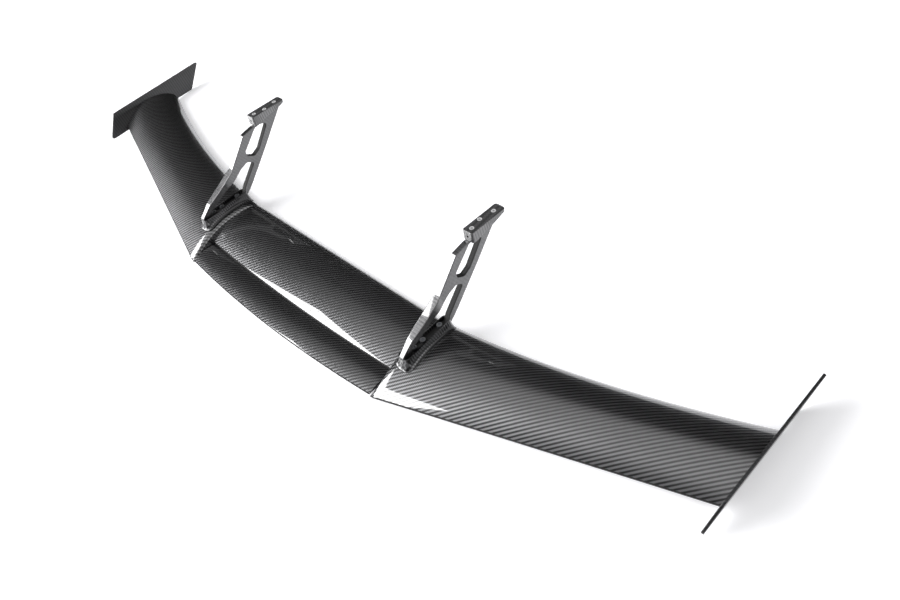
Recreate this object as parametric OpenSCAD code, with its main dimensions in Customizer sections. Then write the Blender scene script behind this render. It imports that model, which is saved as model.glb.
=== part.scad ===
// Racing rear wing: three carbon sections, a slotted flap, two swan-neck uprights and two endplates.
// It lies upside down on its trailing edge and endplates, with the mounting feet on top.
// The wing is drawn in its own frame, X along the span and Y towards the leading edge,
// and every sub-part is then laid down by the same small rotation.

/* [Span] */
// Half of the overall span, to the outer face of an endplate
half_span = 830; // [700:5:950]
// Distance of the slot walls' inner faces from the centre plane
wall_x = 276; // [240:2:300]
// Thickness of a slot wall
wall_t = 6; // [4:1:8]

/* [Sections] */
// Vertical thickness of the wing skins
skin_t = 2.2; // [1.6:0.1:2.4]
// Thickness at the trailing edges
edge_t = 2.5; // [2:0.1:3]
// Chordwise position of the crest, as a part of the chord
crest_at = 0.42; // [0.38:0.01:0.46]
// Depth of the trailing edge bow of the centre section
bow = 8; // [4:0.5:9]

/* [Flap] */
// Distance between a flap end and its slot wall
flap_gap = 2; // [1:0.5:4]
// Radius of the flap's pivot pins
pin_r = 2; // [1.5:0.1:2.2]
// Running clearance of the pivot pins, on the radius
pin_play = 0.05; // [0.02:0.01:0.08]

/* [Uprights] */
// Distance of an upright's inner face from the centre plane
blade_x = 296; // [292:1:300]
// Thickness of an upright blade
blade_t = 11; // [9:0.5:13]
// Width of a mounting foot
foot_w = 22; // [20:0.5:26]
// Length of a mounting foot
foot_l = 79; // [76:1:84]
// Height of a mounting foot at its rear face
foot_h = 20; // [18:0.5:22]
// Slope of the mounting feet against the wing, in degrees
foot_slope = 3; // [0:0.5:5]
// Outer radius of the threaded inserts in the feet
insert_r = 4; // [3.6:0.1:4.4]
// Radius of the tapped holes in the inserts
insert_bore = 2.5; // [2.1:0.1:2.8]

/* [Endplates] */
// Thickness of an endplate
plate_t = 4.5; // [3:0.5:6]
// Lean of the endplates, in degrees
plate_lean = 12; // [8:1:14]

/* [Hidden] */
carbon = [0.16, 0.16, 0.17];
alloy = [0.72, 0.73, 0.75];
steel = [0.45, 0.46, 0.48];
rubber = [0.08, 0.08, 0.08];

// The resting pose: tilt about X, then a shift that puts the origin under the middle of the whole part
rest_tilt = 4;
rest_y = 25.98;
rest_z = 89.7;

// Chord fractions of the section points, closer together towards the leading edge
point_count = 15;
first_c = 0.004;
C = [for (i = [0:point_count]) first_c + (1 - first_c) * pow(i / point_count, 1.7)];
outer_x = wall_x + wall_t;
lean = tan(plate_lean);
plate_top_z = -29.8;

// Adhesive gap between the skins and what stands inside them
bond_gap = 0.2;

function mix(a, b, u) = a + (b - a) * u;

// Rise of a skin above its chord line: blunt and round in front, a falling arc behind the crest
function rise(c) = c < crest_at ? pow(1 - pow((crest_at - c) / crest_at, 2), 0.33)
    : 1 - pow((c - crest_at) / (1 - crest_at), 2);
// Thickness of a section along its chord, 1 at its thickest
function fatness(c) = sqrt(c) * (1 - c) / 0.385;

// A section is [leading edge y, leading z, trailing y, trailing z, camber height, thickness,
// edge thickness]
function top_z(s, c) = mix(s[1], s[3], c) + s[4] * rise(c);
function full_t(s, c) = s[5] * fatness(c) + s[6] * c;
function at_y(s, c) = mix(s[0], s[2], c);

// Inner face of an endplate at height z, and the tips of the outer sections just short of it
function plate_x(z) = half_span - plate_t / cos(plate_lean) + (z - plate_top_z) * lean;
function outer_section(u) = [-36 + 58 * u + 74 * u * u, -90, mix(-215, -53, u), mix(-96, -72, u),
    mix(32, 40, u), mix(24, 20, u), edge_t];
function bowed(x) = 1 - pow(x / wall_x, 2);
function centre_section(x) = [-36, -88, -160 - bow * bowed(x), -86, 18, 22, edge_t];
function flap_section(x) = [-150 - bow * bowed(x), -101.5, -214 - 1.6 * bow * bowed(x), -95, 9, 7.5,
    1.6];

// One ring of points: the upper curve from nose to tail, then the lower curve back.
// a and b are the depths of the two curves under the top of the section, as functions of its thickness.
function depth(part, t, wall) = part == "outside" ? [0, t]
    : part == "suction" ? [0, min(wall, t / 2)]
    : part == "pressure" ? [t - min(wall, t / 2), t]
    : [min(wall, t / 2) + bond_gap, t - min(wall, t / 2) - bond_gap];
function ring(s, part, wall, cs, x, u, drop) =
    let (n = len(cs),
        up = [for (c = cs)
            [at_y(s, c), top_z(s, c) - depth(part, full_t(s, c), wall)[0] + drop]],
        low = [for (k = [n - 1:-1:0])
            [at_y(s, cs[k]), top_z(s, cs[k]) - depth(part, full_t(s, cs[k]), wall)[1] + drop]])
    [for (p = concat(up, low)) [u < 0 ? x : mix(outer_x, plate_x(p[1]) - 0.2, u), p[0], p[1]]];

// A closed solid through rings that all have the same number of points
module loft(rings) {
    n = len(rings[0]);
    m = len(rings);
    h = n / 2;
    sides = [for (j = [0:m - 2], k = [0:n - 1]) let (a = j * n + k, b = j * n + (k + 1) % n)
        each [[a, b + n, b], [a, a + n, b + n]]];
    ends = [for (k = [0:h - 2]) let (a = k, b = k + 1, c = n - 2 - k, d = n - 1 - k, e = (m - 1) * n)
        each [[a, b, d], [b, c, d], [e + a, e + d, e + b], [e + b, e + d, e + c]]];
    polyhedron(points = [for (r = rings) each r], faces = concat(sides, ends), convexity = 6);
}

module outer_loft(part, us, cs = C, drop = 0) {
    loft([for (u = us) ring(outer_section(u), part, skin_t, cs, 0, u, drop)]);
}
module centre_loft(part, xs, cs = C) {
    loft([for (x = xs) ring(centre_section(x), part, skin_t, cs, x, -1, 0)]);
}
module flap_loft(part, xs, cs = C) {
    loft([for (x = xs) ring(flap_section(x), part, 1.2, cs, x, -1, 0)]);
}

module lie() {
    translate([0, rest_y, rest_z]) rotate([-rest_tilt, 0, 0]) children();
}
// Draws for the right half, or mirrored for the left
module half(side) {
    if (side > 0) children();
    else mirror([1, 0, 0]) children();
}
module both() {
    for (side = [-1, 1]) half(side) children();
}
module rod(from, to, r) {
    d = to - from;
    length = norm(d);
    translate(from) rotate([0, acos(d[2] / length), atan2(d[1], d[0])])
        cylinder(r = r, h = length, $fn = 48);
}

// Stations
span_steps = 8;
outer_us = [for (i = [0:span_steps]) i / span_steps];
centre_xs = [for (i = [-4:4]) i * wall_x / 4];
flap_end = wall_x - flap_gap;
flap_xs = [for (i = [-4:4]) i * flap_end / 4];

// Spars: the centre one runs into both mount blocks, and each outer one runs from there to its tip rib
spar_r = 5;
spar_bore = 3.8;
spar_y = -88;
spar_z = -77.3;
spar_end = 303;
outer_spar_a = [308, -86, -72.5];
outer_spar_b = [804, 24, -53];

module centre_suction_skin() {
    color(carbon) lie() centre_loft("suction", centre_xs);
}
module centre_pressure_skin() {
    color(carbon) lie() centre_loft("pressure", centre_xs);
}

// The three bolts that hold an upright, in its own plane
bolt_ys = [-121, -101, -62];
bolt_x = blade_x + blade_t / 2;
bolt_r = 3;
bolt_end_z = -80;
module bolt_holes(r, low, high) {
    for (y = bolt_ys) translate([bolt_x, y, low]) cylinder(r = r, h = high - low, $fn = 32);
}

module outer_suction_skin(side) {
    color(carbon) lie() half(side) difference() {
        outer_loft("suction", outer_us);
        bolt_holes(bolt_r + 0.3, -80, -55);
    }
}
module outer_pressure_skin(side) {
    color(carbon) lie() half(side) outer_loft("pressure", outer_us);
}

module centre_spar() {
    color(carbon) lie() difference() {
        rod([-spar_end, spar_y, spar_z], [spar_end, spar_y, spar_z], spar_r);
        rod([-spar_end - 1, spar_y, spar_z], [spar_end + 1, spar_y, spar_z], spar_bore);
    }
}
module outer_spar(side) {
    color(carbon) lie() half(side) difference() {
        rod(outer_spar_a, outer_spar_b, spar_r);
        rod(outer_spar_a - [4, 1, 0], outer_spar_b + [4, 1, 0], spar_bore);
    }
}

// Ribs between the skins. Each is cut through for its spar.
rib_cs = [for (c = C) if (c > 0.03 && c < 0.9) c];
rib_us = [0.28, 0.52, 0.76];
rib_half = 0.004;
module inner_ribs() {
    color(carbon) lie() {
        both() for (u = rib_us) difference() {
            outer_loft("core", [u - rib_half, u + rib_half], rib_cs);
            rod(outer_spar_a, outer_spar_b, spar_r);
        }
        for (x = [-92, 92]) difference() {
            centre_loft("core", [x - 2, x + 2], rib_cs);
            rod([x - 9, spar_y, spar_z], [x + 9, spar_y, spar_z], spar_r);
        }
    }
}
tip_u = 0.985;
module tip_rib(side) {
    color(alloy) lie() half(side) difference() {
        outer_loft("core", [tip_u - 0.017, 1], rib_cs);
        rod(outer_spar_a, outer_spar_b, spar_r);
        plate_screw_places() cylinder(r = screw_r, h = 60, center = true, $fn = 32);
    }
}

// The flap's pivot
pivot = [-170, -95.2];
boss_r = 6.5;
bush_r = 4;
module slot_wall(side) {
    color(carbon) lie() half(side) difference() {
        union() {
            loft([for (x = [wall_x, outer_x]) ring(outer_section(0), "outside", 0, C, x, -1, 0)]);
            translate([wall_x, 0, 0]) rotate([90, 0, 90]) linear_extrude(wall_t) hull() {
                translate([-120, -88]) circle(r = 2, $fn = 32);
                translate(pivot) circle(r = boss_r, $fn = 64);
                translate([-211, -96]) circle(r = 1.5, $fn = 32);
            }
        }
        rod([wall_x - 1, spar_y, spar_z], [outer_x + 1, spar_y, spar_z], spar_r);
        rod([wall_x - 1, pivot[0], pivot[1]], [outer_x + 1, pivot[0], pivot[1]], bush_r);
    }
}
module pivot_bushes() {
    color("goldenrod") lie() both() difference() {
        rod([wall_x, pivot[0], pivot[1]], [outer_x, pivot[0], pivot[1]], bush_r);
        rod([wall_x - 1, pivot[0], pivot[1]], [outer_x + 1, pivot[0], pivot[1]], pin_r + pin_play);
    }
}

// Hard point inside the wing under an upright
block_us = [0.014, 0.078];
block_cs = [for (c = C) if (c > 0.1 && c < 0.72) c];
module mount_block(side) {
    color(alloy) lie() half(side) difference() {
        outer_loft("core", block_us, block_cs);
        bolt_holes(bolt_r, bolt_end_z - 1, -56);
        rod([outer_x, spar_y, spar_z], [spar_end, spar_y, spar_z], spar_r);
        rod(outer_spar_a, outer_spar_b, spar_r);
    }
}

// Endplate outline in its own plane: Y along the chord, X up the leaning plate
plate_h = 51.6;
plate_outline = [[-64, 0], [187, 0], [138, -plate_h], [-103, -plate_h]];
plate_round = 2.5;
screw_r = 2.5;
screw_head_r = 5;
screw_head_h = 2.6;
screw_ys = [2, 62];
screw_depth = [-27, -33];
module plate_frame() {
    translate([half_span, 0, plate_top_z]) rotate([0, plate_lean, 0]) children();
}
module plate_screw_places() {
    plate_frame() for (i = [0:1]) translate([0, screw_ys[i], screw_depth[i]]) rotate([0, 90, 0])
        children();
}
module rounded_outline(points, r) {
    offset(r) offset(-r) polygon(points);
}
module screw_cone(gap) {
    translate([0, 0, -screw_head_h])
        cylinder(r1 = screw_r - gap, r2 = screw_head_r - gap, h = screw_head_h, $fn = 48);
}
module endplate(side) {
    color(carbon) lie() half(side) difference() {
        plate_frame() translate([-plate_t, 0, 0]) rotate([90, 0, 90])
            linear_extrude(plate_t) rounded_outline(plate_outline, plate_round);
        plate_screw_places() cylinder(r = screw_r + 0.25, h = 60, center = true, $fn = 32);
        plate_screw_places() screw_cone(0);
    }
}
// Countersunk screws with a hexagon socket, from outside through an endplate into its tip rib
module endplate_screws() {
    color(steel) lie() both() plate_screw_places() difference() {
        union() {
            translate([0, 0, -plate_t - 8]) cylinder(r = screw_r - 0.05, h = plate_t + 7, $fn = 32);
            screw_cone(0.2);
        }
        translate([0, 0, -1.6]) cylinder(r = 1.75, h = 3, $fn = 6);
    }
}

// Upright: a side outline with two lightening windows, of which the lower one opens into the saddle
floor_z = -57.5;
rail_t = 4;
blade_outline = [[28, 65.5], [2.5, 62], [-48, 13], [-84, -6], [-124, -25], [-150, -45], [-153, floor_z],
    [-41, floor_z], [-30, -50], [-18, -40], [41, 14], [71, 43], [106, 76.5], [88, 71.2], [66, 69.3],
    [45, 64.8]];
upper_window = [[62, 57], [46, 63.5], [33, 62], [-6, 29], [-6, 19], [9, 10], [24, 17]];
lower_window = [[2, -2.5], [-13, 6.5], [-31, 1], [-48, -9], [-90, -23], [-127, -40],
    [-133, floor_z + rail_t], [-48, floor_z + rail_t], [-40, -41]];
module blade_plate() {
    translate([blade_x, 0, 0]) rotate([90, 0, 90]) linear_extrude(blade_t)
        rounded_outline(blade_outline, 2);
}
module window(points) {
    translate([blade_x - 1, 0, 0]) rotate([90, 0, 90]) linear_extrude(blade_t + 2)
        rounded_outline(points, 4);
}
module upright(side) {
    color(carbon) lie() half(side) difference() {
        blade_plate();
        window(upper_window);
        window(lower_window);
        foot_frame() foot_bar();
        bolt_holes(bolt_r + 0.3, -62, -50);
        foot_dowel_places() cylinder(r = dowel_r, h = dowel_l, $fn = 32);
    }
}

// Saddle: a boat-shaped tray around the blade's lower end, moulded to the wing under it
saddle_ys = [-139, -49];
saddle_top_r = [12, 9];
saddle_base_r = [19.3, 14];
saddle_rim = -47;
saddle_wall = 2.5;
gasket_t = 1;
module boat(radii, low, high) {
    hull() for (i = [0:1]) translate([bolt_x, saddle_ys[i], low])
        cylinder(r = radii[i], h = high - low, $fn = 32);
}
module wing_body(drop) {
    outer_loft("outside", [0, 0.125, 0.25], C, drop);
}
module saddle_solid() {
    hull() {
        boat(saddle_base_r, -80, -64);
        boat(saddle_top_r, -49, saddle_rim);
    }
}
module saddle(side) {
    color(carbon) lie() half(side) difference() {
        saddle_solid();
        boat(saddle_top_r - [saddle_wall, saddle_wall], floor_z, -40);
        blade_plate();
        wing_body(gasket_t);
        bolt_holes(bolt_r + 0.3, -80, -50);
    }
}
module saddle_gaskets() {
    color(rubber) lie() both() difference() {
        intersection() {
            saddle_solid();
            wing_body(gasket_t);
        }
        wing_body(0);
        bolt_holes(bolt_r + 0.3, -80, -50);
    }
}
module upright_bolts() {
    head_z = floor_z + rail_t;
    color(steel) lie() both() for (y = bolt_ys) translate([bolt_x, y, 0]) difference() {
        union() {
            translate([0, 0, bolt_end_z]) cylinder(r = bolt_r - 0.05, h = head_z - bolt_end_z, $fn = 32);
            translate([0, 0, head_z]) cylinder(r = 5, h = 6, $fn = 48);
        }
        translate([0, 0, head_z + 2.5]) cylinder(r = 2.9, h = 5, $fn = 6);
    }
}

// Mounting foot: a bar with three bolt holes, deep at its rear face and thin at its nose
foot_rear = [36, 85.6];
foot_nose_h = 5;
foot_side = [[0, 0], [foot_l, 0], [foot_l, -foot_nose_h], [52, -12], [30, -14.5], [9, -foot_h],
    [0, -foot_h]];
// Threaded inserts, as [distance from the rear face, offset across, depth]
inserts = [[11, 0, 12], [34, -4.5, 10], [62, 0, 6.5]];
rear_screw_r = 2.1;
foot_x = blade_x - 2.5 + foot_w / 2;
// Two dowels between each foot and its blade, as [distance from the rear face, height of the lower end]
dowels = [[5, -foot_h - 4], [24, -21]];
dowel_r = 2;
dowel_l = 8.8;
dowel_x = blade_x + blade_t / 2 - foot_x;
module foot_frame() {
    translate([foot_x, foot_rear[0], foot_rear[1]]) rotate([-foot_slope, 0, 0]) children();
}
module foot_dowel_places() {
    foot_frame() for (d = dowels) translate([dowel_x, d[0], d[1]]) children();
}
module foot_bar() {
    translate([-foot_w / 2, 0, 0]) rotate([90, 0, 90]) linear_extrude(foot_w) polygon(foot_side);
}
module foot(side) {
    color(carbon) lie() half(side) foot_frame() difference() {
        intersection() {
            foot_bar();
            linear_extrude(3 * foot_h, center = true) translate([-foot_w / 2, 0])
                offset(4) offset(-4) square([foot_w, foot_l]);
        }
        for (p = inserts) translate([p[1], p[0], -p[2]]) cylinder(r = insert_r, h = p[2] + 1, $fn = 48);
        translate([0, -1, -foot_h / 2]) rotate([-90, 0, 0]) cylinder(r = rear_screw_r, h = 7, $fn = 32);
        for (d = dowels) translate([dowel_x, d[0], d[1] - 1])
            cylinder(r = dowel_r, h = dowel_l + 1, $fn = 32);
    }
}
module foot_inserts() {
    color(steel) lie() both() foot_frame() for (p = inserts) translate([p[1], p[0], -p[2]]) difference() {
        cylinder(r = insert_r - 0.01, h = p[2], $fn = 48);
        translate([0, 0, -1]) cylinder(r = insert_bore, h = p[2] + 2, $fn = 48);
    }
}
module foot_dowels() {
    color(steel) lie() both() foot_dowel_places() cylinder(r = dowel_r - 0.03, h = dowel_l, $fn = 32);
}

// Flap
flap_rib_cs = [for (c = C) if (c > 0.05 && c < 0.8) c];
flap_rib_t = 12;
flap_spar_y = -181;
flap_spar_z = -94;
flap_spar_r = 1.9;
module flap_suction_skin() {
    color(carbon) lie() flap_loft("suction", flap_xs);
}
module flap_pressure_skin() {
    color(carbon) lie() flap_loft("pressure", flap_xs);
}
module flap_spar() {
    color(carbon) lie() rod([flap_rib_t - flap_end, flap_spar_y, flap_spar_z],
        [flap_end - flap_rib_t, flap_spar_y, flap_spar_z], flap_spar_r);
}
module flap_end_rib(side) {
    color(carbon) lie() half(side) difference() {
        flap_loft("core", [flap_end - flap_rib_t, flap_end], flap_rib_cs);
        rod([flap_end - flap_rib_t - 1, pivot[0], pivot[1]], [flap_end + 1, pivot[0], pivot[1]], pin_r);
    }
}
module flap_pivot_pins() {
    color(steel) lie() both()
        rod([flap_end - flap_rib_t, pivot[0], pivot[1]], [outer_x, pivot[0], pivot[1]], pin_r);
}

centre_suction_skin();
centre_pressure_skin();
outer_suction_skin(-1);  // outer_suction_skin_left
outer_suction_skin(1);  // outer_suction_skin_right
outer_pressure_skin(-1);  // outer_pressure_skin_left
outer_pressure_skin(1);  // outer_pressure_skin_right
centre_spar();
outer_spar(-1);  // outer_spar_left
outer_spar(1);  // outer_spar_right
inner_ribs();
slot_wall(-1);  // slot_wall_left
slot_wall(1);  // slot_wall_right
tip_rib(-1);  // tip_rib_left
tip_rib(1);  // tip_rib_right
mount_block(-1);  // mount_block_left
mount_block(1);  // mount_block_right
endplate(-1);  // endplate_left
endplate(1);  // endplate_right
endplate_screws();
upright(-1);  // upright_left
upright(1);  // upright_right
saddle(-1);  // saddle_left
saddle(1);  // saddle_right
saddle_gaskets();
upright_bolts();
foot(-1);  // foot_left
foot(1);  // foot_right
foot_inserts();
foot_dowels();
flap_suction_skin();
flap_pressure_skin();
flap_spar();
flap_end_rib(-1);  // flap_end_rib_left
flap_end_rib(1);  // flap_end_rib_right
flap_pivot_pins();
pivot_bushes();
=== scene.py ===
"""Looks for the racing rear wing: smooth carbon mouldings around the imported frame, studio light and camera.

The wing is drawn in its own axes, in millimetres: X along the span, Y towards the leading edge, Z up. lie() lays
every point down into the frame's axes, in metres, as the CAD model does.
"""
import math
from collections import namedtuple

import bmesh
import bpy
import numpy as np
from mathutils import Matrix, Vector


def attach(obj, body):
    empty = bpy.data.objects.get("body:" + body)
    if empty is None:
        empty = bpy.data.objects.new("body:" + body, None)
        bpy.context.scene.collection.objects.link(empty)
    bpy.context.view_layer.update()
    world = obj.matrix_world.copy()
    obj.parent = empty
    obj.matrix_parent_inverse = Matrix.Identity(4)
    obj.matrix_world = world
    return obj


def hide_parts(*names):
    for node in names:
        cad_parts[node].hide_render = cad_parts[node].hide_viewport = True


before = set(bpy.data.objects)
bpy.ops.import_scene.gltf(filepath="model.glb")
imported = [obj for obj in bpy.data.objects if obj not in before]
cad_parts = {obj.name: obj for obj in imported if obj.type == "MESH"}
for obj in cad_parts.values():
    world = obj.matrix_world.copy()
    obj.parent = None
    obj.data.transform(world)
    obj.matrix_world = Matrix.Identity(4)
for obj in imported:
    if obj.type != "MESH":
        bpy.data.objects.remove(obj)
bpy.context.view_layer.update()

# ---------------------------------------------------------------- dimensions, as in the CAD model (mm, radians)
REST_TILT, REST_Y, REST_Z = 4.0, 25.98, 89.7  # how the wing lies: its tilt in degrees, then its shift
HALF_SPAN = 830.0
WALL_X, WALL_T = 276.0, 6.0  # slot walls: the face towards the flap, and the thickness
OUTER_X = WALL_X + WALL_T
SKIN_T, FLAP_SKIN_T = 2.2, 1.2
EDGE_T, FLAP_EDGE_T = 2.5, 1.6  # thickness of the trailing edges
CREST_AT, NOSE_C = 0.42, 0.004  # chord fractions of the crest and of the blunt nose
BOW = 8.0  # how far the centre section's trailing edge bows back in the middle
FLAP_BOW = 1.6 * BOW
PLATE_T, PLATE_LEAN = 4.5, math.radians(12)
PLATE_TOP_Z, PLATE_H = -29.8, 51.6
TIP_GAP = 0.2
PIVOT = (-170.0, -95.2)  # the flap's axis, as (y, z)
BUSH_R, BOSS_R = 4, 6.5
FLAP_GAP = 2.0
BLADE_X, BLADE_T = 296.0, 11.0
BLADE_MID = BLADE_X + BLADE_T / 2
FLOOR_Z, RAIL_T = -57.5, 4.0  # where an upright stands in its saddle, and the rail under its lower window
FOOT_REAR, FOOT_SLOPE = (36.0, 85.6), math.radians(3)
FOOT_W, FOOT_L, FOOT_H, FOOT_NOSE_H = 22.0, 79.0, 20.0, 5.0
FOOT_OVERHANG = 2.5
FOOT_X = BLADE_X - FOOT_OVERHANG + FOOT_W / 2
INSERT_R = 4.0
INSERTS = ((11.0, 0.0), (34.0, -4.5), (62.0, 0.0))  # (y, x) of each insert in foot axes

# ---------------------------------------------------------------- dimensions of the visual model only (mm)
PAINTED_EDGE_SHADE = 1.4  # width of the dark matte strip on each side of a trailing edge: painted shade beside the real cut edge
KINK_DROP, KINK_REACH = 2.2, 13.0  # how the outer sections roll down to the slot walls
SKIN_POINTS, WALL_POINTS = 72, 90  # points along a section's upper curve
SHARP_ANGLE = math.radians(32)
FILLET_STEPS = 7
PLATE_BEVEL, BLADE_BEVEL, FOOT_BEVEL = 0.9, 1.2, 0.7
WELD = 0.001
CUT_CLEAR = 4  # how much longer than its hole a cutter is


def mix(a, b, u):
    return a + (b - a) * u


def smooth(a, b, v):
    """0 before a, 1 after b, smooth between."""
    t = np.clip((np.asarray(v, float) - a) / (b - a), 0, 1)
    return t * t * (3 - 2 * t)


def lie(points):
    """Wing axes in mm to the frame's axes in metres."""
    p = np.asarray(points, float).reshape(-1, 3)
    c, s = math.cos(-math.radians(REST_TILT)), math.sin(-math.radians(REST_TILT))
    y, z = p[:, 1], p[:, 2]
    return np.stack([p[:, 0], y * c - z * s + REST_Y, y * s + z * c + REST_Z], 1) / 1000


def turn(direction):
    """A direction in wing axes to the frame's axes."""
    return Vector(lie([direction])[0] - lie([(0, 0, 0)])[0]).normalized()


# ---------------------------------------------------------------- wing sections, as in the CAD model
NOSE_POWER = 0.33
FATTEST = 0.385  # the largest value of sqrt(c) * (1 - c)
Section = namedtuple("Section", "nose_y nose_z tail_y tail_z camber depth edge")


def rise(c):
    """Height of the upper curve over the chord line, as a fraction of the camber."""
    front = np.power(np.clip(1 - ((CREST_AT - c) / CREST_AT) ** 2, 0, 1), NOSE_POWER)
    return np.where(c < CREST_AT, front, 1 - ((c - CREST_AT) / (1 - CREST_AT)) ** 2)


def fatness(c):
    return np.sqrt(c) * (1 - c) / FATTEST


def plate_x(z):
    """The inner face of an endplate, which leans outwards."""
    return HALF_SPAN - PLATE_T / math.cos(PLATE_LEAN) + (z - PLATE_TOP_Z) * math.tan(PLATE_LEAN)


def outer_section(u):
    """An outer section, from the slot wall (u = 0) to the endplate (u = 1). Only its leading edge is curved."""
    return Section(nose_y=-36 + 58 * u + 74 * u * u, nose_z=-90, tail_y=mix(-215, -53, u), tail_z=mix(-96, -72, u),
                   camber=mix(32, 40, u), depth=mix(24, 20, u), edge=EDGE_T)


def bowed(x):
    """1 in the middle of the centre section, 0 at the slot walls."""
    return 1 - (x / WALL_X) ** 2


def centre_section(x):
    return Section(nose_y=-36, nose_z=-88, tail_y=-160 - BOW * bowed(x), tail_z=-86,
                   camber=18, depth=22, edge=EDGE_T)


def flap_section(x):
    return Section(nose_y=-150 - BOW * bowed(x), nose_z=-101.5, tail_y=-214 - FLAP_BOW * bowed(x), tail_z=-95,
                   camber=9, depth=7.5, edge=FLAP_EDGE_T)


def top_curve(s, c):
    """Points (y, z) of a section's upper curve at chord fractions c."""
    return np.stack([mix(s.nose_y, s.tail_y, c), mix(s.nose_z, s.tail_z, c) + s.camber * rise(c)], 1)


def thickness(s, c):
    return s.depth * fatness(c) + s.edge * c


def chord_fractions(n, power=2.2):
    """Chord fractions from the blunt nose to the trailing edge, close together at the nose."""
    return NOSE_C + (1 - NOSE_C) * np.linspace(0, 1, n) ** power


def cloth_lengths(curve, cs):
    """Length along a section's upper curve, growing towards the leading edge, and equal to y at the crest."""
    run = np.r_[0, np.cumsum(np.linalg.norm(np.diff(curve, axis=0), axis=1))]
    return np.interp(CREST_AT, cs, curve[:, 0]) + np.interp(CREST_AT, cs, run) - run


def kink_drop(x):
    """How far the outer sections' upper side rolls down towards the slot wall, where |x| nears OUTER_X."""
    return KINK_DROP * np.clip(1 - (np.abs(x) - OUTER_X) / KINK_REACH, 0, None) ** 2


# ---------------------------------------------------------------- mesh helpers
def new_piece(name, mesh, body, material, replaced=()):
    """A finished object from a mesh in the frame's axes. Faces with material index 1 get dark matte carbon: real
    cut edges, and painted shade along the trailing edges.
    """
    mesh.shade_smooth()
    mesh.set_sharp_from_angle(angle=SHARP_ANGLE)
    piece = bpy.data.objects.new(name, mesh)
    bpy.context.scene.collection.objects.link(piece)
    for finish in (material, cut_carbon_and_painted_shade)[: 1 + max(f.material_index for f in piece.data.polygons)]:
        piece.data.materials.append(finish)
    even = piece.modifiers.new("even_shading", "WEIGHTED_NORMAL")
    even.keep_sharp = True
    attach(piece, body)
    if replaced:
        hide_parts(*replaced)
    return piece


def mesh_from(name, points, faces, uvs=None):
    """A mesh from wing-axes points. uvs are one (u, v) for each point, in metres, kept in the map named weave."""
    mesh = bpy.data.meshes.new(name)
    mesh.from_pydata([tuple(p) for p in lie(points)], [], [list(f) for f in faces])
    if uvs is not None:
        layer = mesh.uv_layers.new(name="weave")
        corner = np.zeros(len(mesh.loops), np.int32)
        mesh.loops.foreach_get("vertex_index", corner)
        layer.data.foreach_set("uv", (np.asarray(uvs, np.float32)[corner]).ravel())
    mesh.validate()
    return mesh


def mirrored(points, side):
    """Points of the right-hand side, for side 1 as they are and for side -1 on the left."""
    p = np.array(points, float)
    p[:, 0] *= side
    return p


def tube_faces(rings, count, closed_ends, flip):
    """Quads between rings of count points each.

    closed_ends "skin" fills an end ring across the skin's thickness, "cap" with one face, and None leaves it open.
    """
    faces = [(j * count + k, j * count + (k + 1) % count, (j + 1) * count + (k + 1) % count, (j + 1) * count + k)
             for j in range(rings - 1) for k in range(count)]
    last = (rings - 1) * count
    if closed_ends == "skin":
        half = count // 2
        for k in range(half - 1):
            a, b, c, d = k, k + 1, count - 2 - k, count - 1 - k
            faces += [(a, d, c, b), (last + a, last + b, last + c, last + d)]
    elif closed_ends == "cap":
        faces += [tuple(range(count - 1, -1, -1)), tuple(last + k for k in range(count))]
    return [f[::-1] for f in faces] if flip else faces


def skin(name, stations, section_at, x_at, wall, part, side, roll=np.zeros_like):
    """One smooth closed skin of a wing section: its outer curve, and its inner curve one wall away."""
    n = SKIN_POINTS
    points, uvs = [], []
    for u in stations:
        s = section_at(u)
        chord = np.hypot(*np.diff(top_curve(s, np.array([NOSE_C, 1.0])), axis=0)[0])
        cs = np.insert(chord_fractions(n - 1), -1, 1 - PAINTED_EDGE_SHADE / chord)
        t = thickness(s, cs)
        top = top_curve(s, cs)
        shell = np.minimum(wall, t / 2)
        depth = (0 * t, shell) if part == "suction" else (t - shell, t)
        arc = cloth_lengths(top, cs) / 1000
        for k, order in ((0, slice(None)), (1, slice(None, None, -1))):
            y, z = top[order, 0], (top[:, 1] - depth[k])[order]
            x = x_at(u, z)
            z = z - roll(x)
            points.append(np.stack([x * side, y, z], 1))
            uvs.append(np.stack([x * side / 1000, arc[order]], 1))
    count = 2 * n
    faces = tube_faces(len(stations), count, "skin", flip=side > 0)
    mesh = mesh_from(name, np.concatenate(points), faces, np.concatenate(uvs))
    # the trailing edge's face is the real cut edge; the dark matte strips on each side of it are painted shade
    for j in range(len(stations) - 1):
        for k in (n - 2, n - 1, n):
            mesh.polygons[j * count + k].material_index = 1
    return mesh


NEARLY_STRAIGHT = math.radians(88)
SIDE_SHARE = 0.48  # a rounded corner takes less than half of each side


def fillet(points, radii):
    """A closed outline with its corners rounded, all by one radius or each by its own."""
    p = [np.array(q, float) for q in points]
    n = len(p)
    made = []
    for i in range(n):
        a, b, c = p[i - 1], p[i], p[(i + 1) % n]
        r = radii[i] if hasattr(radii, "__len__") else radii
        u, v = a - b, c - b
        lu, lv = np.linalg.norm(u), np.linalg.norm(v)
        u, v = u / lu, v / lv
        half = math.acos(max(-1, min(1, float(u @ v)))) / 2
        if r <= 0 or half > NEARLY_STRAIGHT:
            made.append(b)
            continue
        d = min(r / math.tan(half), SIDE_SHARE * lu, SIDE_SHARE * lv)
        start, end = b + u * d, b + v * d
        for t in (k / FILLET_STEPS for k in range(FILLET_STEPS + 1)):
            made.append((1 - t) ** 2 * start + 2 * t * (1 - t) * b + t * t * end)
    return made


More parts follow.
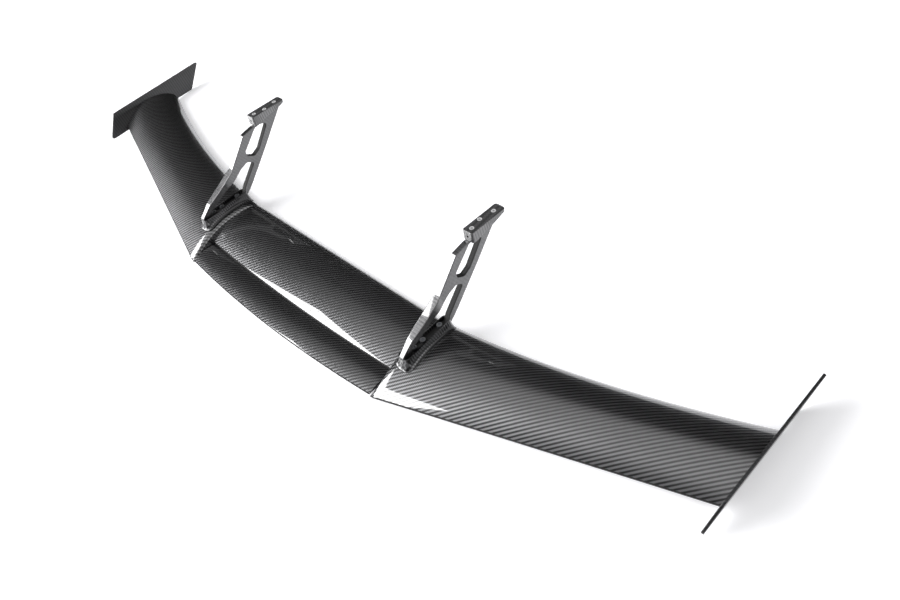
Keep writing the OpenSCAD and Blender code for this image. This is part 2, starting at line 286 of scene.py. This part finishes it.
def plate_mesh(name, loops, thick, bevel):
    """A flat plate with rounded edges and holes: X and Y from the loops, Z from -thick/2 to thick/2."""
    curve = bpy.data.curves.new(name, "CURVE")
    curve.dimensions = "2D"
    curve.fill_mode = "BOTH"
    curve.extrude = thick / 2 - bevel
    curve.bevel_depth = bevel
    curve.bevel_resolution = 3
    curve.offset = -bevel
    for loop in loops:
        spline = curve.splines.new("POLY")
        spline.points.add(len(loop) - 1)
        for point, (a, b) in zip(spline.points, loop):
            point.co = (a, b, 0, 1)
        spline.use_cyclic_u = True
    holder = bpy.data.objects.new(name, curve)
    bpy.context.scene.collection.objects.link(holder)
    bpy.context.view_layer.update()
    mesh = bpy.data.meshes.new_from_object(holder.evaluated_get(bpy.context.evaluated_depsgraph_get()))
    bpy.data.objects.remove(holder)
    work = bmesh.new()
    work.from_mesh(mesh)
    bmesh.ops.remove_doubles(work, verts=work.verts, dist=WELD)
    work.to_mesh(mesh)
    work.free()
    return mesh


def modified(mesh, *modifiers):
    """The mesh with modifiers applied, each given as (type, settings)."""
    holder = bpy.data.objects.new(mesh.name, mesh)
    bpy.context.scene.collection.objects.link(holder)
    for kind, settings in modifiers:
        m = holder.modifiers.new(kind, kind)
        for key, value in settings.items():
            setattr(m, key, value)
    bpy.context.view_layer.update()
    made = bpy.data.meshes.new_from_object(holder.evaluated_get(bpy.context.evaluated_depsgraph_get()))
    bpy.data.objects.remove(holder)
    return made


def coords(mesh):
    co = np.zeros(len(mesh.vertices) * 3, np.float32)
    mesh.vertices.foreach_get("co", co)
    return co.reshape(-1, 3).astype(float)


def set_coords(mesh, co):
    mesh.vertices.foreach_set("co", np.asarray(co, np.float32).ravel())
    mesh.update()


def drilled(mesh, middle, along, radius, length):
    """The mesh with a round hole of this length cut into it, the hole's middle and direction given."""
    work = bmesh.new()
    place = Vector((0, 0, 1)).rotation_difference(Vector(along)).to_matrix().to_4x4()
    place.translation = middle
    bmesh.ops.create_cone(work, cap_ends=True, segments=32, radius1=radius, radius2=radius,
                          depth=length, matrix=place)
    cutter_mesh = bpy.data.meshes.new("cutter")
    work.to_mesh(cutter_mesh)
    work.free()
    cutter = bpy.data.objects.new("cutter", cutter_mesh)
    bpy.context.scene.collection.objects.link(cutter)
    made = modified(mesh, ("BOOLEAN", {"object": cutter, "operation": "DIFFERENCE", "solver": "EXACT"}))
    bpy.data.objects.remove(cutter)
    return made


# ---------------------------------------------------------------- materials
BLUE_TINT = 1.03
COAT_IOR = 1.75
QUARTER_TURN = 0.25
FIBRE_STREAK = (9.0, 0.35)  # streaks per tow width, across and along the fibres


class Shader:
    """A material with a Principled shader, and short ways to add the nodes that drive it."""

    def __init__(self, name, **fixed):
        self.material = bpy.data.materials.new(name)
        self.material.use_nodes = True
        self.tree = self.material.node_tree
        self.bsdf = self.tree.nodes["Principled BSDF"]
        for key, value in fixed.items():
            self.bsdf.inputs[key.replace("_", " ")].default_value = value

    def node(self, kind, links=None, **settings):
        made = self.tree.nodes.new(kind)
        for key, value in settings.items():
            setattr(made, key, value)
        for key, value in (links or {}).items():
            self.set(made.inputs[key], value)
        return made

    def set(self, socket, value):
        """Links a socket, or sets a constant."""
        if isinstance(value, bpy.types.NodeSocket):
            self.tree.links.new(value, socket)
        else:
            socket.default_value = value

    def math(self, operation, a, b=0.0, c=0.0):
        made = self.node("ShaderNodeMath", {0: a, 1: b, 2: c}, operation=operation)
        return made.outputs[0]

    def mix(self, factor, a, b):
        made = self.node("ShaderNodeMix", data_type="FLOAT")
        for index, value in ((0, factor), (2, a), (3, b)):
            self.set(made.inputs[index], value)
        return made.outputs[0]

    def ramp(self, value, stops):
        """A grey for each (position, level) stop, a touch blue."""
        made = self.node("ShaderNodeValToRGB", {0: value})
        band = made.color_ramp
        while len(band.elements) < len(stops):
            band.elements.new(0.5)
        for element, (at, level) in zip(band.elements, stops):
            element.position = at
            element.color = (level, level, level * BLUE_TINT, 1)
        return made.outputs[0]

    def drive(self, socket, value):
        self.tree.links.new(value, self.bsdf.inputs[socket])


def noise(shader, vector, scale, detail=2.0, rough=0.5):
    inputs = {"Vector": vector, "Scale": scale, "Detail": detail, "Roughness": rough}
    return shader.node("ShaderNodeTexNoise", inputs).outputs["Fac"]


def scaled(shader, vector, scale, angle=0.0):
    made = shader.node("ShaderNodeMapping", {"Vector": vector, "Rotation": (0, 0, angle), "Scale": scale})
    return made.outputs["Vector"]


def twill(shader, vector, tow, angle):
    """A 2x2 twill of flat tows: which tow is on top, its rounded height, and its fibre streaks."""
    cell = scaled(shader, vector, (1 / tow,) * 3, angle)
    split = shader.node("ShaderNodeSeparateXYZ", {0: cell})
    a, b = split.outputs[0], split.outputs[1]
    diagonal = shader.math("ADD", shader.math("FLOOR", a), shader.math("FLOOR", b))
    step = shader.math("FLOORED_MODULO", diagonal, 4.0)
    over = shader.math("LESS_THAN", step, 1.5)
    across = [shader.math("SINE", shader.math("MULTIPLY", shader.math("FRACT", v), math.pi)) for v in (a, b)]
    height = shader.math("POWER", shader.mix(over, across[1], across[0]), 0.5)
    fibre_a = noise(shader, scaled(shader, cell, (*FIBRE_STREAK, 1.0)), 1.0, 3.0, 0.6)
    fibre_b = noise(shader, scaled(shader, cell, (*FIBRE_STREAK[::-1], 1.0)), 1.0, 3.0, 0.6)
    return over, height, shader.mix(over, fibre_b, fibre_a)


def carbon(name, source, tow, angle, dark, light, *, metal=0.9, rough=0.34, stretch=0.75,
           coat=1.0, coat_rough=0.03, across_painted_shade=0.16):
    """Clear-coated twill carbon.

    source is "weave", the piece's own UV map, or a pair of object axes for a flat piece. angle is in degrees. dark
    and light are the gaps' and the tows' colour. The last keyword is how bright the tows across are painted next
    to
    those along: painted shade and sheen of the weave, not a colour of the fibres. stretch is the anisotropy.
    """
    shader = Shader(name, Metallic=metal, Coat_Weight=coat, Coat_Roughness=coat_rough, Coat_IOR=COAT_IOR)
    shader.bsdf.inputs["Anisotropic"].default_value = stretch
    if source == "weave":
        vector = shader.node("ShaderNodeUVMap", uv_map="weave").outputs["UV"]
        tangent = shader.node("ShaderNodeTangent", direction_type="UV_MAP", uv_map="weave")
        shader.drive("Tangent", tangent.outputs[0])
    else:
        place = shader.node("ShaderNodeTexCoord").outputs["Object"]
        parts = shader.node("ShaderNodeSeparateXYZ", {0: place})
        flat = shader.node("ShaderNodeCombineXYZ", {0: parts.outputs[source[0]], 1: parts.outputs[source[1]]})
        vector = flat.outputs[0]
    over, height, fibre = twill(shader, vector, tow, math.radians(angle))
    cloth = noise(shader, vector, 14.0, 3.0)
    # tows across painted darker than those along: painted shade and sheen of the weave
    level = shader.math("MULTIPLY", height, shader.mix(over, across_painted_shade, 1.0))
    level = shader.math("MULTIPLY", level, shader.math("MULTIPLY_ADD", fibre, 0.5, 0.72))
    level = shader.math("MULTIPLY", level, shader.math("MULTIPLY_ADD", cloth, 0.4, 0.8))
    shader.drive("Base Color", shader.ramp(level, ((0.05, dark), (0.9, light))))
    shader.drive("Roughness", shader.math("MULTIPLY_ADD", fibre, 0.16, rough - 0.08))
    shader.drive("Anisotropic Rotation", shader.math("MULTIPLY_ADD", over, -QUARTER_TURN, QUARTER_TURN))
    bump = shader.node("ShaderNodeBump", {"Strength": 0.35, "Distance": 0.0003, "Height": height})
    shader.drive("Normal", bump.outputs[0])
    return shader.material


def metal(name, colour, rough, streak, metallic=1.0):
    """Machined or plated metal with fine turning marks and slight staining."""
    shader = Shader(name, Metallic=metallic)
    place = shader.node("ShaderNodeTexCoord").outputs["Object"]
    marks = noise(shader, scaled(shader, place, (streak, streak * 0.1, streak)), 1.0, 3.0, 0.6)
    stain = noise(shader, place, 90.0, 3.0)
    level = shader.mix(0.35, marks, stain)
    made = shader.node("ShaderNodeValToRGB", {0: level})
    band = made.color_ramp
    band.elements[0].position, band.elements[1].position = 0.25, 0.8
    band.elements[0].color = (*[c * 0.7 for c in colour], 1)
    band.elements[1].color = (*colour, 1)
    shader.drive("Base Color", made.outputs[0])
    shader.drive("Roughness", shader.math("MULTIPLY_ADD", marks, 0.25, rough - 0.1))
    bump = shader.node("ShaderNodeBump", {"Strength": 0.15, "Distance": 0.00005, "Height": marks})
    shader.drive("Normal", bump.outputs[0])
    return shader.material


def rubber(name):
    """Matt black rubber with a fine grain."""
    shader = Shader(name, Metallic=0.0)
    place = shader.node("ShaderNodeTexCoord").outputs["Object"]
    grain = noise(shader, place, 900.0, 2.0)
    shader.drive("Base Color", shader.ramp(grain, ((0.3, 0.012), (0.8, 0.03))))
    shader.drive("Roughness", shader.math("MULTIPLY_ADD", grain, 0.2, 0.6))
    bump = shader.node("ShaderNodeBump", {"Strength": 0.3, "Distance": 0.00008, "Height": grain})
    shader.drive("Normal", bump.outputs[0])
    return shader.material


X, Y, Z = 0, 1, 2
TOW = 0.00208  # width of a tow in metres
BROAD_TOW = TOW * 1.6  # coarser cloth on the feet and saddles
skin_carbon = carbon("skin_carbon", "weave", TOW, -90, 0.006, 0.2, stretch=0.5)
wall_carbon = carbon("wall_carbon", (Y, Z), TOW, 25, 0.01, 0.16, across_painted_shade=0.3)
blade_carbon = carbon("blade_carbon", (Y, Z), TOW, 20, 0.035, 0.1,
                      metal=0.8, rough=0.3, stretch=0.4, across_painted_shade=0.75)
plate_carbon = carbon("plate_carbon", (Y, Z), TOW, 45, 0.02, 0.06,
                      stretch=0.3, coat=0.3, coat_rough=0.12, across_painted_shade=0.6)
foot_carbon = carbon("foot_carbon", (X, Y), BROAD_TOW, 38, 0.02, 0.12, metal=0.3, across_painted_shade=0.4)
shoe_carbon = carbon("shoe_carbon", (X, Y), BROAD_TOW, 40, 0.008, 0.16,
                     stretch=0.4, coat=0.4, coat_rough=0.08)
# dark matte carbon for cut edges, also painting shade on the strips along trailing edges
cut_carbon_and_painted_shade = carbon("cut_carbon_and_painted_shade", (X, Z), TOW, 45, 0.004, 0.012, metal=0.0, rough=0.75, coat=0.0)
bare_carbon = carbon("bare_carbon", (X, Z), TOW, 45, 0.01, 0.05, rough=0.5, coat=0.0)
alloy = metal("alloy", (0.72, 0.73, 0.75), 0.32, 2500)
steel = metal("plated_steel", (0.42, 0.43, 0.45), 0.3, 3000)
# plated steel for the foot inserts, made near-white and mostly non-metallic so they show white from any side: real
# bright inserts with a painted glint
steel_with_painted_glint = metal("steel_with_painted_glint", (0.9, 0.9, 0.91), 0.4, 3000, metallic=0.25)
bronze = metal("bronze", (0.62, 0.43, 0.2), 0.35, 2500)
gasket_rubber = rubber("gasket_rubber")


# ---------------------------------------------------------------- wing skins
SIDES = ((-1, "left"), (1, "right"))
NEAR_KINK = 0.024  # the stations are close together up to here, for the roll down to the slot wall
outer_stations = np.r_[np.linspace(0, NEAR_KINK, 9), np.linspace(0.035, 1, 40)]
centre_stations = np.linspace(-WALL_X, WALL_X, 25)
flap_end = WALL_X - FLAP_GAP
flap_stations = np.linspace(-flap_end, flap_end, 25)


def outer_x_at(u, z):
    """Spanwise place of an outer station: its ends follow the slot wall and the leaning endplate."""
    return mix(OUTER_X, plate_x(z) - TIP_GAP, u)


def flat_x_at(x, z):
    return np.full(len(z), x)


for part in ("suction", "pressure"):
    for side, hand in SIDES:
        node = f"outer_{part}_skin_{hand}"
        roll = kink_drop if part == "suction" else np.zeros_like
        mesh = skin(node, outer_stations, outer_section, outer_x_at, SKIN_T, part, side, roll=roll)
        new_piece(f"{node}_moulding", mesh, "wing", skin_carbon, [node])
    for name, body, stations, section_at, wall in (("centre", "wing", centre_stations, centre_section, SKIN_T),
                                                   ("flap", "flap", flap_stations, flap_section, FLAP_SKIN_T)):
        node = f"{name}_{part}_skin"
        mesh = skin(node, stations, section_at, flat_x_at, wall, part, 1)
        new_piece(f"{node}_moulding", mesh, body, skin_carbon, [node])


# ---------------------------------------------------------------- slot walls
FAR_ABOVE = 1e3
FLAP_STRIP = ((-120, -88, 2), (*PIVOT, BOSS_R), (-211, -96, 1.5))  # circles (y, z, r) that the walls also cover
WALL_STEPS = 11
ROUNDED_SHARE = 0.3  # the rounded side takes no more than this share of a wall's height
SIDEWAYS = 0.98


def lower_hull(circles, ys, steps=48):
    """Height of the lower side of the hull round some circles (y, z, r), at each of ys."""
    points = sorted((y + r * math.sin(a), z - r * math.cos(a)) for y, z, r in circles
                    for a in np.linspace(-math.pi / 2, math.pi / 2, steps))
    hull = []
    for p in points:
        while len(hull) > 1 and ((hull[-1][0] - hull[-2][0]) * (p[1] - hull[-2][1])
                                 <= (hull[-1][1] - hull[-2][1]) * (p[0] - hull[-2][0])):
            hull.pop()
        hull.append(p)
    h = np.array(hull)
    return np.interp(ys, h[:, 0], h[:, 1], left=FAR_ABOVE, right=FAR_ABOVE)


wall_section = outer_section(0)
wall_cs = chord_fractions(WALL_POINTS, 2.0)
wall_top = top_curve(wall_section, wall_cs)
wall_low = wall_top[:, 1] - thickness(wall_section, wall_cs)
wall_low = np.minimum(wall_low, lower_hull(FLAP_STRIP, wall_top[:, 0]))
wall_cloth = cloth_lengths(wall_top, wall_cs) / 1000


def slot_wall(name, side):
    """A solid wall between the centre and outer sections, its upper side rounded over from the outer section."""
    points, uvs = [], []
    reach = np.linspace(0, 1, WALL_STEPS) ** 1.6 * WALL_T
    for x in reach:
        fall = 1 - math.sqrt(1 - (1 - x / WALL_T) ** 2)
        drop = KINK_DROP * (1 + 2 * (WALL_T - x) / KINK_REACH)
        drop = drop + fall * np.minimum(WALL_T, ROUNDED_SHARE * (wall_top[:, 1] - wall_low))
        x = np.full(len(wall_cs), side * (WALL_X + x))
        points += [np.c_[x, wall_top[:, 0], wall_top[:, 1] - drop], np.c_[x, wall_top[:, 0], wall_low][::-1]]
        uvs += [np.c_[x / 1000, wall_cloth], np.c_[x / 1000, wall_cloth][::-1]]
    faces = tube_faces(len(reach), 2 * len(wall_cs), "skin", flip=side > 0)
    return mesh_from(name, np.concatenate(points), faces, np.concatenate(uvs))


for side, hand in SIDES:
    node = f"slot_wall_{hand}"
    middle = lie([(side * (WALL_X + WALL_T / 2), *PIVOT)])[0]
    mesh = drilled(slot_wall(node, side), middle, (1, 0, 0), BUSH_R / 1000, (WALL_T + CUT_CLEAR) / 1000)
    piece = new_piece(f"{node}_moulding", mesh, "wing", skin_carbon, [node])
    piece.data.materials.append(wall_carbon)
    for face in mesh.polygons:
        face.material_index = 1 if abs(face.normal.x) > SIDEWAYS else 0


# ---------------------------------------------------------------- endplates
PLATE_OUTLINE = [(-64, 0), (187, 0), (138, -PLATE_H), (-103, -PLATE_H)]
PLATE_ROUND = [4, 4, 12, 6]
plate_loop = fillet(PLATE_OUTLINE, PLATE_ROUND)
for side, hand in SIDES:
    node = f"endplate_{hand}"
    mesh = plate_mesh(node, [plate_loop], PLATE_T, PLATE_BEVEL)
    co = coords(mesh)
    across = co[:, 2] - PLATE_T / 2
    x = HALF_SPAN + across * math.cos(PLATE_LEAN) + co[:, 1] * math.sin(PLATE_LEAN)
    z = PLATE_TOP_Z - across * math.sin(PLATE_LEAN) + co[:, 1] * math.cos(PLATE_LEAN)
    set_coords(mesh, lie(np.c_[x * side, co[:, 0], z]))
    if side < 0:
        mesh.flip_normals()
    new_piece(f"{node}_sheet", mesh, "wing", plate_carbon, [node])


# ---------------------------------------------------------------- uprights
BLADE_OUTLINE = [(28, 65.5), (2.5, 62), (-48, 13), (-84, -6), (-124, -25), (-150, -45), (-153, FLOOR_Z),
                 (-41, FLOOR_Z), (-30, -50), (-18, -40), (41, 14), (71, 43), (106, 76.5), (88, 71.2),
                 (66, 69.3), (45, 64.8)]
BLADE_ROUND = [3, 5, 14, 14, 14, 8, 3, 2, 14, 14, 14, 14, 2, 3, 3, 3]
UPPER_WINDOW = [(62, 57), (46, 63.5), (33, 62), (-6, 29), (-6, 19), (9, 10), (24, 17)]
LOWER_WINDOW = [(2, -2.5), (-13, 6.5), (-31, 1), (-48, -9), (-90, -23), (-127, -40),
                (-133, FLOOR_Z + RAIL_T), (-48, FLOOR_Z + RAIL_T), (-40, -41)]
WINDOW_ROUND = 6
STRIP_YS = np.arange(-150, -42, 2.0)
blade_loops = [fillet(BLADE_OUTLINE, BLADE_ROUND), fillet(UPPER_WINDOW, WINDOW_ROUND),
               fillet(LOWER_WINDOW, WINDOW_ROUND)]


def swelling(y):
    """How much wider than the blade its rear leg is: a leaf, pointed at the top and narrow at the rear end."""
    return 0.5 * smooth(-44, -60, y) * (1 - smooth(-92, -146, y)) - 0.12 * smooth(-120, -150, y)


def cut_in_strips(mesh, at_xs):
    """Cuts the mesh along planes across X, so that later moves bend it smoothly."""
    work = bmesh.new()
    work.from_mesh(mesh)
    for x in at_xs:
        geometry = work.verts[:] + work.edges[:] + work.faces[:]
        bmesh.ops.bisect_plane(work, geom=geometry, dist=1e-5, plane_co=(x, 0, 0), plane_no=(1, 0, 0))
    work.to_mesh(mesh)
    work.free()


def nearest(points, loop):
    """Distance from each of points to a closed loop of points."""
    loop = np.array(loop)
    a, b = loop, np.roll(loop, -1, axis=0)
    ab = b - a
    t = np.einsum("pij,ij->pi", points[:, None, :] - a, ab) / (np.einsum("ij,ij->i", ab, ab) + 1e-12)
    foot = a + np.clip(t, 0, 1)[..., None] * ab
    return np.linalg.norm(points[:, None, :] - foot, axis=2).min(axis=1)


for side, hand in SIDES:
    node = f"upright_{hand}"
    mesh = plate_mesh(node, blade_loops, BLADE_T, BLADE_BEVEL)
    cut_in_strips(mesh, STRIP_YS)
    middles = np.zeros(len(mesh.polygons) * 3)
    mesh.polygons.foreach_get("center", middles)
    middles = middles.reshape(-1, 3)
    edge_on = np.array([abs(f.normal.z) < 0.9 for f in mesh.polygons])
    to_outline, to_upper, to_lower = (nearest(middles[:, :2], loop) for loop in blade_loops)
    in_window = np.minimum(to_upper, to_lower) < to_outline
    co = coords(mesh)
    co = np.c_[co[:, 2] * (1 + swelling(co[:, 0])) + BLADE_MID, co[:, 0], co[:, 1]]
    set_coords(mesh, lie(mirrored(co, side)))
    mesh.polygons.foreach_set("material_index", (edge_on & in_window).astype(np.int32))
    if side < 0:
        mesh.flip_normals()
    new_piece(f"{node}_blade", mesh, "wing", blade_carbon, [node])


# ---------------------------------------------------------------- saddles and gaskets
SADDLE_YS = (-139.0, -49.0)  # the middles of its rear and front ends
SADDLE_TOP_R, SADDLE_BASE_R = (12.0, 9.0), (19.0, 14.0)  # radii of the rear and front ends
SADDLE_RIM, SADDLE_WALL = -47.0, 2.5
SADDLE_LIFT = 0.9  # the gasket's thickness under the saddle
RIM_CHAMFER = 0.6
RIM = ((0.3, SADDLE_RIM - 0.1), (0.8, SADDLE_RIM), (SADDLE_WALL - 0.8, SADDLE_RIM),
       (SADDLE_WALL - 0.3, SADDLE_RIM - 0.1), (SADDLE_WALL, SADDLE_RIM - RIM_CHAMFER),
       (SADDLE_WALL, FLOOR_Z))  # (inset, height) of the rings over the rim and down inside
GASKET = ((0.4, -0.3), (0.5, 0.5), (0.0, 1.0), (-3.0, 1.0), (-3.0, -0.3))  # (growth, lift) of its rings
SQUARENESS = 0.72
END_POINTS, SIDE_POINTS = 28, 26
FIRST_GUESS_Z = -62.0


def surface_z(x, y):
    """Height of an outer section's suction side at (x, y), for x on the right-hand side."""
    z = np.full(len(x), FIRST_GUESS_Z)
    for _ in range(3):
        u = (x - OUTER_X) / (plate_x(z) - TIP_GAP - OUTER_X)
        s = outer_section(u)
        c = np.clip((y - s.nose_y) / (s.tail_y - s.nose_y), 0.0, 1.0)
        z = mix(s.nose_z, s.tail_z, c) + s.camber * rise(c)
    return z


def boat(rear_r, front_r):
    """The saddle's outline in plan: a squarish rear end, a round front end, as (x, y) points."""
    rear_y, front_y = SADDLE_YS
    made = []
    for a in (math.pi + math.pi * k / (END_POINTS - 1) for k in range(END_POINTS)):
        ca, sa = math.cos(a), math.sin(a)
        made.append((BLADE_MID + rear_r * math.copysign(abs(ca) ** SQUARENESS, ca),
                     rear_y + rear_r * math.copysign(abs(sa) ** SQUARENESS, sa)))
    along = np.linspace(0, 1, SIDE_POINTS)[1:-1]
    made += [(BLADE_MID + mix(rear_r, front_r, t), mix(rear_y, front_y, t)) for t in along]
    made += [(BLADE_MID + front_r * math.cos(a), front_y + front_r * math.sin(a))
             for a in (math.pi * k / (END_POINTS - 1) for k in range(END_POINTS))]
    made += [(BLADE_MID - mix(front_r, rear_r, t), mix(front_y, rear_y, t)) for t in along]
    return np.array(made)


def saddle_rings():
    """Rings up the flared outside, over the rim and down to the floor where the upright stands."""
    rings = []
    for t in np.linspace(0, 1, 9):
        g = math.sin(t * math.pi / 2)
        plan = boat(*[mix(b, r, g) for b, r in zip(SADDLE_BASE_R, SADDLE_TOP_R)])
        low = surface_z(plan[:, 0], plan[:, 1]) + SADDLE_LIFT
        z = mix(low, SADDLE_RIM - RIM_CHAMFER, 1 - math.cos(t * math.pi / 2))
        rings.append(np.c_[plan, z])
    for inset, z in RIM:
        plan = boat(*[r - inset for r in SADDLE_TOP_R])
        rings.append(np.c_[plan, np.full(len(plan), z)])
    return rings


def gasket_rings():
    """Rings round the gasket's four sides, the last one the same as the first."""
    rings = []
    for grow, lift in GASKET:
        plan = boat(*[r + grow for r in SADDLE_BASE_R])
        rings.append(np.c_[plan, surface_z(plan[:, 0], plan[:, 1]) + lift])
    return [*rings, rings[0]]


def ring_mesh(name, rings, side, ends):
    points = mirrored(np.concatenate(rings), side)
    return mesh_from(name, points, tube_faces(len(rings), len(rings[0]), ends, flip=side < 0))


for side, hand in SIDES:
    node = f"saddle_{hand}"
    mesh = ring_mesh(node, saddle_rings(), side, "cap")
    new_piece(f"{node}_shoe", mesh, "wing", shoe_carbon, [node])
    mesh = ring_mesh(f"gasket_{hand}", gasket_rings(), side, None)
    new_piece(f"saddle_gasket_{hand}", mesh, "wing", gasket_rubber)
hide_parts("saddle_gaskets")


# ---------------------------------------------------------------- mounting feet
FOOT_UNDER = ((0, -FOOT_H), (9, -FOOT_H), (30, -14.5), (52, -12), (FOOT_L, -FOOT_NOSE_H))  # underside, as (y, z)
FOOT_ROUND = [4, 4, 6, 6]
FOOT_STEP = 3
HOLE_POINTS = 40
REAR_SCREW_R, REAR_SCREW_DEPTH, REAR_SCREW_DROP = 2.1, 6.0, 10.0


def foot_mesh(name):
    """A bar with holes for its inserts and rear screw, in foot axes: X across, Y forward, Z up."""
    half = FOOT_W / 2
    outline = fillet([(-half, 0), (half, 0), (half, FOOT_L), (-half, FOOT_L)], FOOT_ROUND)
    dense = []
    for i, a in enumerate(outline):
        b = outline[(i + 1) % len(outline)]
        steps = max(1, int(np.linalg.norm(b - a) // FOOT_STEP))
        dense += [mix(a, b, k / steps) for k in range(steps)]
    round_angles = np.linspace(0, 2 * math.pi, HOLE_POINTS + 1)[:-1]
    holes = [[(x + INSERT_R * math.cos(a), y + INSERT_R * math.sin(a)) for a in round_angles] for y, x in INSERTS]
    mesh = plate_mesh(name, [dense, *holes], FOOT_H, FOOT_BEVEL)
    co = coords(mesh)
    under = np.interp(co[:, 1], *zip(*FOOT_UNDER))
    co[:, 2] = np.where(co[:, 2] < 0, under + (co[:, 2] + FOOT_H / 2), co[:, 2] - FOOT_H / 2)
    set_coords(mesh, co)
    middle = (0, REAR_SCREW_DEPTH / 2 - CUT_CLEAR / 2, -REAR_SCREW_DROP)
    return drilled(mesh, middle, (0, 1, 0), REAR_SCREW_R, REAR_SCREW_DEPTH + CUT_CLEAR)


for side, hand in SIDES:
    node = f"foot_{hand}"
    mesh = foot_mesh(node)
    co = coords(mesh)
    c, s = math.cos(-FOOT_SLOPE), math.sin(-FOOT_SLOPE)
    x = FOOT_X + co[:, 0]
    y = co[:, 1] * c - co[:, 2] * s + FOOT_REAR[0]
    z = co[:, 1] * s + co[:, 2] * c + FOOT_REAR[1]
    set_coords(mesh, lie(np.c_[x * side, y, z]))
    if side < 0:
        mesh.flip_normals()
    new_piece(f"{node}_bar", mesh, "wing", foot_carbon, [node])


# ---------------------------------------------------------------- hardware and hidden parts: CAD nodes as they are
FINISHES = (
    (bare_carbon, ("centre_spar", "outer_spar_left", "outer_spar_right", "inner_ribs", "flap_spar",
                   "flap_end_rib_left", "flap_end_rib_right")),
    (alloy, ("tip_rib_left", "tip_rib_right", "mount_block_left", "mount_block_right")),
    (steel, ("endplate_screws", "upright_bolts", "foot_dowels", "flap_pivot_pins")),
    (steel_with_painted_glint, ("foot_inserts",)),
    (bronze, ("pivot_bushes",)),
)
for material, names in FINISHES:
    for name in names:
        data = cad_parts[name].data
        data.materials.clear()
        data.materials.append(material)


# ---------------------------------------------------------------- floor, light and camera
FLOOR_R = 14.0
FLOOR_GLOW = 0.3
PAPER = ((0.2, 0.86), (0.8, 0.9))


def floor_material():
    """Pale paper that glows a little, so that it stays white under the soft light."""
    shader = Shader("floor_paper", Metallic=0.0, Roughness=0.85,
                    Emission_Color=(1, 1, 1, 1), Emission_Strength=FLOOR_GLOW)
    place = shader.node("ShaderNodeTexCoord").outputs["Object"]
    shader.drive("Base Color", shader.ramp(noise(shader, place, 3.0, 3.0), PAPER))
    return shader.material


floor_mesh = bpy.data.meshes.new("studio_floor")
floor_mesh.from_pydata([(x * FLOOR_R, y * FLOOR_R, 0) for x, y in ((-1, -1), (1, -1), (1, 1), (-1, 1))],
                       [], [(0, 1, 2, 3)])
floor_mesh.materials.append(floor_material())
floor = bpy.data.objects.new("studio_floor", floor_mesh)
bpy.context.scene.collection.objects.link(floor)


def toward(azimuth, elevation):
    """The unit vector in a direction given in degrees."""
    a, e = math.radians(azimuth), math.radians(elevation)
    return Vector((math.cos(e) * math.cos(a), math.cos(e) * math.sin(a), math.sin(e)))


def softbox(name, azimuth, elevation, distance, spread, radiance):
    """A softbox facing the wing from a direction, as wide and high as spread says, in degrees."""
    light = bpy.data.lights.new(name, "AREA")
    light.shape = "RECTANGLE"
    light.size, light.size_y = (2 * distance * math.tan(math.radians(s / 2)) for s in spread)
    light.energy = radiance * math.pi * light.size * light.size_y
    holder = bpy.data.objects.new(name, light)
    bpy.context.scene.collection.objects.link(holder)
    holder.location = toward(azimuth, elevation) * distance
    holder.rotation_mode = "QUATERNION"
    holder.rotation_quaternion = (-holder.location).to_track_quat("-Z", "Y")
    holder.visible_camera = False


softbox("rear_left_softbox", -136, 28, 6.0, (38, 44), 11)
softbox("right_softbox", 15, 38, 5.0, (60, 40), 1.3)

GLOW_AT = (-135, 84)
GLOW_EDGE, GLOW_CORE = 48, 16  # degrees from its axis where the glow starts, and where it is full
GLOW_LEVELS = (0.02, 1.0)
BACKDROP = 0.9


def world_light():
    """A dark studio with a soft glow overhead and a pale backdrop for the camera only."""
    world = bpy.data.worlds.new("studio")
    bpy.context.scene.world = world
    world.use_nodes = True
    nodes, links = world.node_tree.nodes, world.node_tree.links
    place = nodes.new("ShaderNodeTexCoord")
    dot = nodes.new("ShaderNodeVectorMath")
    dot.operation = "DOT_PRODUCT"
    dot.inputs[1].default_value = toward(*GLOW_AT)
    links.new(place.outputs["Generated"], dot.inputs[0])
    glow = nodes.new("ShaderNodeMapRange")
    glow.interpolation_type = "SMOOTHSTEP"
    links.new(dot.outputs["Value"], glow.inputs[0])
    band = [math.cos(math.radians(angle)) for angle in (GLOW_EDGE, GLOW_CORE)]
    for index, value in enumerate((*band, *GLOW_LEVELS), 1):
        glow.inputs[index].default_value = value
    seen = nodes.new("ShaderNodeLightPath")
    pick = nodes.new("ShaderNodeMix")
    links.new(seen.outputs["Is Camera Ray"], pick.inputs[0])
    links.new(glow.outputs[0], pick.inputs[2])
    pick.inputs[3].default_value = BACKDROP
    links.new(pick.outputs[0], nodes["Background"].inputs["Strength"])
    nodes["Background"].inputs["Color"].default_value = (1, 1, 1, 1)


world_light()

# the photo's camera, in wing axes (mm)
CAMERA_AT = (1059.25, -537.65, 945.69)
CAMERA_RIGHT = (0.70206, 0.68658, -0.18901)
CAMERA_DOWN = (0.42597, -0.61759, -0.66116)
LENS, SENSOR = 32.48, 36.0
CLIP = (0.05, 60)
camera_data = bpy.data.cameras.new("photo_view")
camera_data.lens, camera_data.sensor_width = LENS, SENSOR
camera_data.clip_start, camera_data.clip_end = CLIP
camera = bpy.data.objects.new("photo_view", camera_data)
bpy.context.scene.collection.objects.link(camera)
right, down = turn(CAMERA_RIGHT), turn(CAMERA_DOWN)
back = right.cross(-down)
axes = Matrix((right, -down, back)).transposed()
camera.matrix_world = Matrix.Translation(Vector(lie([CAMERA_AT])[0])) @ axes.to_4x4()
bpy.context.scene.camera = camera
bpy.context.scene.view_settings.view_transform = "Standard"
